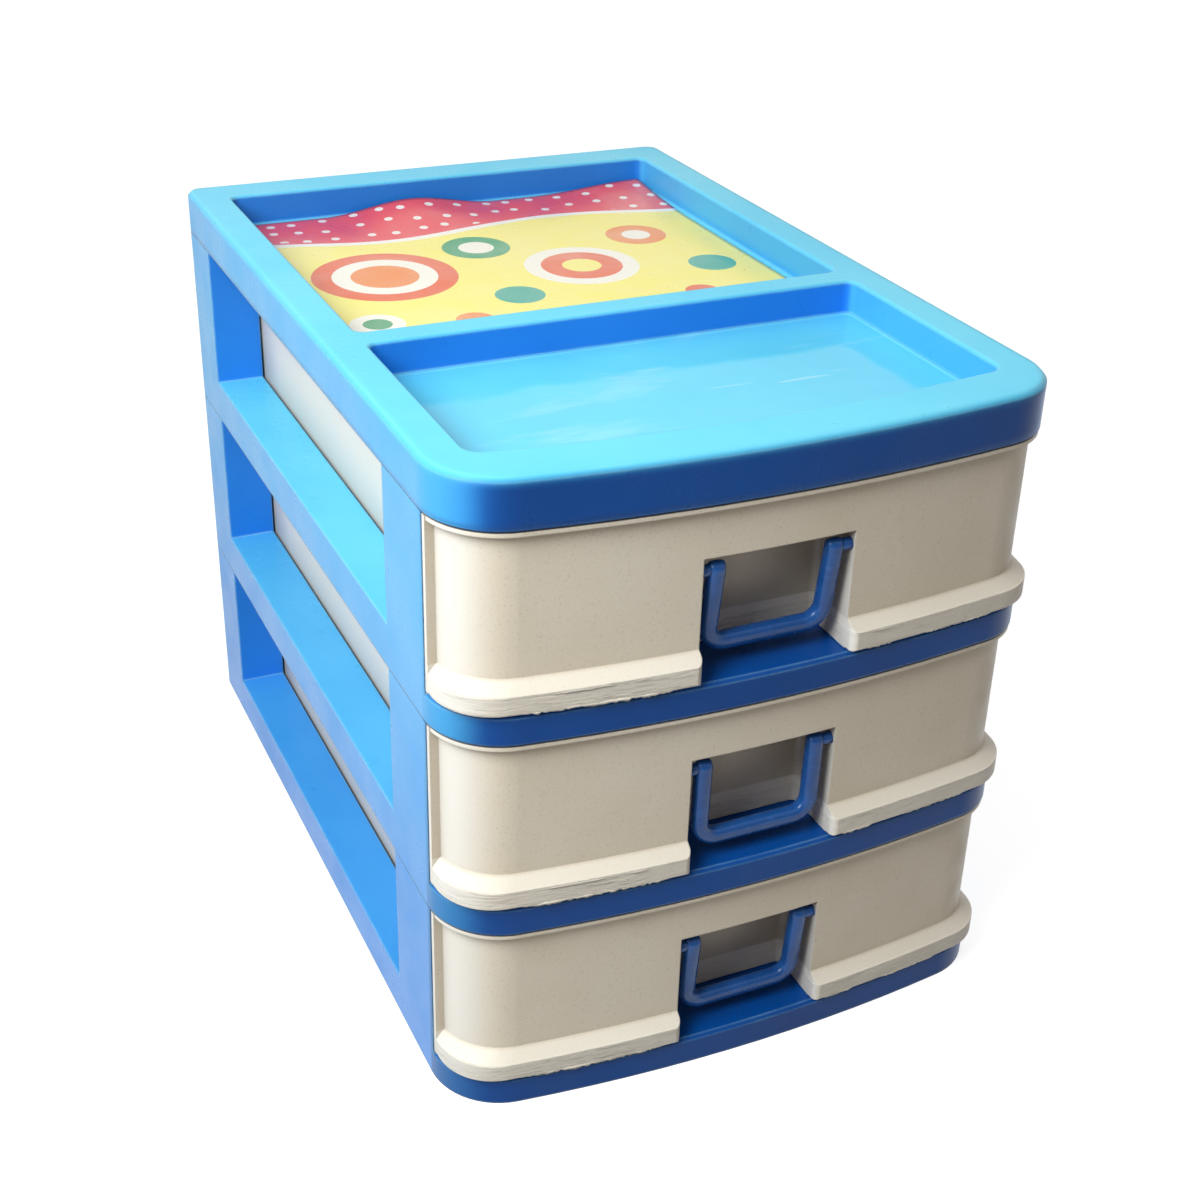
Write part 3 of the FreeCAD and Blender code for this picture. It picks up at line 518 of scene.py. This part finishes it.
def drawer_plastic(name):
    """Warm beige plastic with fine speckle; the lip's face keeps the marks of its trimming."""
    n = material_nodes(name)
    low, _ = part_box("drawer_bottom")
    rounded = n.soft_edges(DRAWER_SOFTNESS)
    _, y_axis, z_axis = n.parts(n.coordinates["Object"])
    height = n.calc("FLOORED_MODULO", n.calc("SUBTRACT", z_axis, low.z), MODULE_PITCH)
    at_front = n.below(y_axis, low.y + LIP_REACH)
    body = drawer_paint(n, rounded, height, at_front)
    on_lip = n.times(n.band(height, 0.0, LIP_FACE_TOP, 0.3 * MM), at_front)
    drag = n.noise(850.0, detail=5.0, roughness=0.7, stretch=(0.10, 0.10, 1.0), distortion=0.6)
    scars = n.times(n.times(n.ramp(drag, 0.56, 0.66), on_lip), 0.35)
    n.set(Base_Color=n.blend(scars, body, SCAR_BROWN))
    n.set(Roughness=n.ramp(n.noise(70.0, detail=5.0, roughness=0.7), 0.35, 0.7, 0.38, 0.54))
    fine = n.bump(n.noise(1200.0, detail=3.0), 0.03 * MM, 0.6, rounded)
    trimmed = n.bump(n.times(drag, on_lip), 0.7 * MM, 0.8, fine)
    n.set(Normal=n.bump(n.noise(40.0, detail=2.0), 0.3 * MM, 0.15, trimmed))
    n.set(Specular_IOR_Level=DRAWER_SPECULAR)
    return n.owner


def print_discs(n, paint, middle):
    """The rings and discs of the card, each painted over the ones before it."""
    x_axis, y_axis, _ = n.parts(n.coordinates["Object"])
    for right, rear, radius, ink in DISCS:
        dx = n.calc("SUBTRACT", x_axis, middle.x + right)
        dy = n.calc("SUBTRACT", y_axis, middle.y + rear)
        squares = n.calc("ADD", n.times(dx, dx), n.times(dy, dy))
        paint = n.blend(n.below(squares, radius ** 2), paint, ink)
    return paint


def print_band(n, paint, low, high):
    """The wavy red band along the card's rear edge, with its pale line and scattered dots."""
    x_axis, y_axis, _ = n.parts(n.coordinates["Object"])
    across = n.ramp(x_axis, low.x, high.x, -1.0, 1.0, smooth=False)
    along = n.ramp(y_axis, low.y, high.y, 0.0, 1.0, smooth=False)
    wave = n.times(n.calc("SINE", n.times(across, BAND_TURN)), BAND_WAVE)
    past_edge = n.calc("SUBTRACT", along, n.calc("ADD", BAND_START, wave))
    paint = n.blend(n.above(past_edge, -LINE_WIDTH), paint, LINE_CREAM)
    paint = n.blend(n.above(past_edge, 0.0), paint, BAND_RED)
    flat = n.add("ShaderNodeCombineXYZ")
    n.feed(flat.inputs[0], x_axis)
    n.feed(flat.inputs[1], y_axis)
    cells = n.add("ShaderNodeTexVoronoi", feature="F1", voronoi_dimensions="2D")
    n.feed(cells.inputs["Vector"], flat.outputs[0])
    n.feed(cells.inputs["Scale"], DOTS_PER_METRE)
    n.feed(cells.inputs["Randomness"], DOT_SCATTER)
    dots = n.below(cells.outputs["Distance"], DOT_RADIUS)
    return n.blend(n.times(dots, n.above(past_edge, DOT_MARGIN)), paint, DOT_CREAM)


def card_print(name):
    """Yellow card with a dotted red band along its rear edge and plain rings and discs."""
    n = material_nodes(name)
    low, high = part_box("label_card")
    paint = print_discs(n, YELLOW, (low + high) / 2)
    paint = print_band(n, paint, low, high)
    fade = n.ramp(n.noise(25.0, detail=5.0, roughness=0.6), 0.45, 0.8, 0.0, 0.22)
    n.set(Base_Color=n.blend(fade, paint, FADED_YELLOW))
    n.set(Roughness=n.ramp(n.noise(80.0, detail=4.0), 0.3, 0.7, 0.24, 0.42))
    n.set(Normal=n.bump(n.noise(30.0, detail=3.0), 0.6 * MM, 0.4))
    n.set(Coat_Weight=CARD_COAT, Coat_Roughness=CARD_COAT_ROUGHNESS)
    return n.owner


def make_mesh(name, vertices, faces):
    mesh = bpy.data.meshes.new(name)
    mesh.from_pydata(vertices, [], faces)
    mesh.validate()
    for polygon in mesh.polygons:
        polygon.use_smooth = True
    obj = bpy.data.objects.new(name, mesh)
    bpy.context.scene.collection.objects.link(obj)
    return obj


def dress(obj, material):
    obj.data.materials.clear()
    obj.data.materials.append(material)


def rounded_section(width, depth, radius, steps=4):
    """Points of a rounded rectangle about its middle, anticlockwise."""
    points = []
    for quarter, (side, front) in enumerate(((1, 1), (-1, 1), (-1, -1), (1, -1))):
        for step in range(steps + 1):
            angle = math.radians(90 * quarter + 90 * step / steps)
            across = side * (width / 2 - radius) + radius * math.cos(angle)
            along = front * (depth / 2 - radius) + radius * math.sin(angle)
            points.append((across, along))
    return points


def rings_to_faces(count, size):
    """Quads between neighbouring rings of points, and a face at each end."""
    faces = []
    for ring in range(count - 1):
        for i in range(size):
            j = (i + 1) % size
            a, b = ring * size, (ring + 1) * size
            faces.append((a + i, a + j, b + j, b + i))
    faces.append(tuple(reversed(range(size))))
    faces.append(tuple(range((count - 1) * size, count * size)))
    return faces


def bail_rings(bottom, section):
    """Rings along a U: down the right leg, round both corners and up the left leg."""
    radius = HANDLE_OUTER_RADIUS - HANDLE_LEG / 2
    middle = HANDLE_HALF - HANDLE_LEG / 2
    low = bottom + HANDLE_LEG / 2
    dome = HANDLE_THICKNESS / 2
    rings = []

    def ring(centre, outward, squeeze=1.0, narrow=1.0):
        points = []
        for across, along in section:
            shift = Vector((outward[0], 0, outward[1])) * across * narrow
            points.append(Vector((centre[0], along * squeeze, centre[1])) + shift)
        rings.append(points)

    def leg_top(side, angles):
        for angle in angles:
            squeeze = max(math.cos(angle), LEG_CAP_THINNEST)
            narrow = 1 - LEG_CAP_TAPER * (1 - math.cos(angle))
            ring((side * middle, dome * math.sin(angle)), (side, 0), squeeze, narrow)

    def corner(side, angles):
        for angle in angles:
            outward = (side * math.cos(angle), -math.sin(angle))
            centre_x = side * (middle - radius) + radius * outward[0]
            ring((centre_x, low + radius + radius * outward[1]), outward)

    rise = [math.pi / 2 * step / LEG_CAP_STEPS for step in range(LEG_CAP_STEPS + 1)]
    turn = [math.pi / 2 * step / HANDLE_CORNER_STEPS for step in range(HANDLE_CORNER_STEPS + 1)]
    leg_top(1, reversed(rise))
    ring((middle, (low + radius) / 2), (1, 0))
    corner(1, turn)
    corner(-1, reversed(turn))
    ring((-middle, (low + radius) / 2), (-1, 0))
    leg_top(-1, rise)
    return rings


def pin_rings(side, pivot, pin_end):
    """Rings along one pin, from inside the leg out to its slightly tapered tip."""
    stations = (
        (HANDLE_HALF - HANDLE_LEG / 2, 1.0),
        (pin_end - PIN_TIP, 1.0),
        (pin_end, PIN_TIP_SHARE),
    )
    rings = []
    for reach, share in stations:
        ring = []
        for i in range(PIN_SIDES):
            angle = 2 * math.pi * i / PIN_SIDES * side
            offset = Vector((side * reach, math.cos(angle), math.sin(angle)))
            offset.yz *= PIN_RADIUS * share
            ring.append(pivot + offset)
        rings.append(ring)
    return rings


def make_handle(level, material):
    """The bail with its two pins, turned about the pin axis to the angle at which it hangs."""
    node = f"handle_{level}"
    joint = JOINTS[f"{node}_swing"]
    pivot = Vector(joint["pos_m"])
    lean = math.radians(joint["range_deg"][1] - HANDLE_LIMIT)
    low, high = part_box(node)
    drop = (pivot.z - low.z - HANDLE_THICKNESS / 2 * math.sin(lean)) / math.cos(lean)
    turn = Euler((lean, 0, 0)).to_matrix()
    section = rounded_section(HANDLE_LEG, HANDLE_THICKNESS, HANDLE_EDGE)
    bail = [[pivot + turn @ point for point in ring] for ring in bail_rings(-drop, section)]
    vertices, faces = [], []
    for rings in (bail, pin_rings(1, pivot, high.x), pin_rings(-1, pivot, high.x)):
        first = len(vertices)
        vertices += [tuple(point) for ring in rings for point in ring]
        for face in rings_to_faces(len(rings), len(rings[0])):
            faces.append(tuple(first + i for i in face))
    handle = make_mesh(f"bail_{level}", vertices, faces)
    dress(handle, material)
    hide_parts(node)
    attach(handle, node)


def lip_front(x, low):
    """The bowed lip's front at x; it stands furthest forward beside the pocket."""
    bow_middle = low.y + math.sqrt(LIP_BOW ** 2 - POCKET_HALF ** 2)
    return bow_middle - math.sqrt(LIP_BOW ** 2 - x ** 2)


def make_flash(level, material):
    """Ragged thin flash along the lip's edges and scraped face, mostly left of the pocket."""
    node = f"drawer_{level}"
    low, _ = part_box(node)
    rng = random.Random(f"flash {level}")
    vertices, faces = [], []
    for start, end, height, scale in FLASH_STRETCHES:
        count = round((end - start) / FLASH_STEP)
        reach = FLASH_START
        first = len(vertices)
        for i in range(count + 1):
            share = i / count
            x = start + (end - start) * share
            reach += rng.uniform(-FLASH_CHANGE, FLASH_CHANGE)
            reach = min(1.0, max(FLASH_LEAST, reach))
            fade = scale * min(1.0, FLASH_FADE * share, FLASH_FADE * (1 - share))
            droop = fade * rng.uniform(0.1, 1.0) * FLASH_DROOP
            thick = FLASH_THICKNESS * scale * (0.5 + reach / 2)
            lip = lip_front(x, low)
            front = max(low.y, lip - fade * reach * FLASH_PROUD)
            base = low.z + height
            vertices.append((x, lip + FLASH_ROOT, base + thick))
            vertices.append((x, lip + FLASH_ROOT, base))
            vertices.append((x, front, base - droop))
            vertices.append((x, (front + lip) / 2, base + thick - droop / 2))
        for face in rings_to_faces(count + 1, 4):
            faces.append(tuple(first + i for i in face))
    flash = make_mesh(f"lip_flash_{level}", vertices, faces)
    dress(flash, material)
    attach(flash, node)


def hump(place, middle, width, height):
    """A smooth rise to the height at the middle, and 0 outside the width."""
    share = (place - middle) / width
    return height * (1 + math.cos(2 * math.pi * share)) / 2 if abs(share) < 0.5 else 0.0


def card_border(width):
    """Numbers of the sheet's border points, anticlockwise from its first corner."""
    border = list(range(CARD_COLUMNS))
    border += [row * width + CARD_COLUMNS for row in range(CARD_ROWS)]
    border += [CARD_ROWS * width + column for column in range(CARD_COLUMNS, 0, -1)]
    border += [row * width for row in range(CARD_ROWS, 0, -1)]
    return border


def make_card(material):
    """The printed card: a thin sheet that curls up in a wave along its rear edge."""
    low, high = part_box("label_card")
    knee = high.y - CARD_CURL_LENGTH
    vertices, faces = [], []
    for layer in (0.0, CARD_THICKNESS):
        for row in range(CARD_ROWS + 1):
            for column in range(CARD_COLUMNS + 1):
                x = low.x + (high.x - low.x) * column / CARD_COLUMNS
                y = low.y + (high.y - low.y) * row / CARD_ROWS
                curl = max(0.0, (y - knee) / CARD_CURL_LENGTH) ** 2
                lift = (hump(x, *CARD_WAVE) + hump(x, *CARD_CORNER)) * curl
                vertices.append((x, y, low.z + lift + layer))
    width = CARD_COLUMNS + 1
    top = width * (CARD_ROWS + 1)
    for row in range(CARD_ROWS):
        for column in range(CARD_COLUMNS):
            a = row * width + column
            faces.append((a, a + width, a + width + 1, a + 1))
            faces.append((top + a, top + a + 1, top + a + width + 1, top + a + width))
    border = card_border(width)
    for a, b in zip(border, border[1:] + border[:1]):
        faces.append((a, b, top + b, top + a))
    card = make_mesh("printed_card", vertices, faces)
    dress(card, material)
    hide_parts("label_card")
    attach(card, "cabinet")


def make_floor():
    """A plain white floor that keeps a faint shadow and throws little light back."""
    near, far = -FLOOR_REACH, FLOOR_REACH
    corners = [(near, near, 0), (far, near, 0), (far, far, 0), (near, far, 0)]
    floor = make_mesh("floor", corners, [(0, 1, 2, 3)])
    n = material_nodes("floor_paint")
    seen = n.seen_directly()
    n.set(Base_Color=n.blend(seen, FLOOR_BOUNCE, FLOOR_SEEN), Roughness=FLOOR_ROUGHNESS)
    n.set(Specular_IOR_Level=0.0, Emission_Color=WHITE)
    n.set(Emission_Strength=n.times(seen, FLOOR_GLOW))
    dress(floor, n.owner)


def make_lamp(name, kind, power, direction):
    """A lamp that shines from the given direction; gives the object and its light."""
    light = bpy.data.lights.new(name, kind)
    light.energy = power
    lamp = bpy.data.objects.new(name, light)
    lamp.rotation_euler = direction.to_track_quat("Z", "Y").to_euler()
    bpy.context.scene.collection.objects.link(lamp)
    return lamp, light


def make_lamps():
    """A round key lamp close by, whose light falls off across the object, and a soft one above."""
    key, key_light = make_lamp("key", "AREA", KEY_POWER, Vector(KEY_PLACE) - Vector(KEY_AIM))
    key.location = KEY_PLACE
    key.visible_camera = False
    key_light.shape = "DISK"
    key_light.size = KEY_WIDTH
    key_light.color = KEY_TINT
    _, overhead = make_lamp("overhead", "SUN", OVERHEAD_STRENGTH, Vector(OVERHEAD_FROM))
    overhead.angle = math.radians(OVERHEAD_SOFTNESS)


def make_world():
    """Soft studio light, dimmer from the viewer's side; the backdrop itself shows as white."""
    world = bpy.data.worlds.new("studio")
    bpy.context.scene.world = world
    n = Nodes(world, "Background")
    _, along, _ = n.parts(n.coordinates["Generated"])
    ambient = n.ramp(along, FRONT_LIMIT, AMBIENT_LIMIT, FRONT_AMBIENT, AMBIENT, smooth=False)
    mirrored = n.ramp(along, FRONT_LIMIT, REFLECTED_LIMIT, FRONT_REFLECTED, 1.0, smooth=False)
    rays = n.add("ShaderNodeLightPath").outputs
    indirect = n.ramp(rays["Is Glossy Ray"], 0.0, 1.0, ambient, mirrored, smooth=False)
    direct = n.larger(rays["Is Camera Ray"], rays["Is Transmission Ray"])
    n.set(Strength=n.ramp(direct, 0.0, 1.0, indirect, 1.0, smooth=False))
    n.set(Color=n.blend(n.seen_directly(), AMBIENT_TINT, WHITE))


def make_camera():
    lens = bpy.data.cameras.new("camera")
    lens.lens = CAMERA_LENS
    lens.sensor_width = SENSOR_WIDTH
    lens.clip_start = NEAREST_VIEW
    camera = bpy.data.objects.new("camera", lens)
    camera.location = CAMERA_PLACE
    camera.rotation_euler = [math.radians(angle) for angle in CAMERA_TURN]
    bpy.context.scene.collection.objects.link(camera)
    bpy.context.scene.camera = camera


bpy.context.scene.view_settings.view_transform = "Standard"
make_camera()
make_world()
make_floor()
make_lamps()

blue = frame_plastic("azure_plastic")
dark_blue = handle_plastic("handle_blue")
beige = drawer_plastic("beige_plastic")
for node, obj in frame["nodes"].items():
    if node.startswith("drawer"):
        dress(obj, beige)
    elif node.startswith("handle"):
        dress(obj, dark_blue)
    else:
        dress(obj, blue)
for level in LEVELS:
    make_handle(level, dark_blue)
    make_flash(level, beige)
make_card(card_print("card_print"))
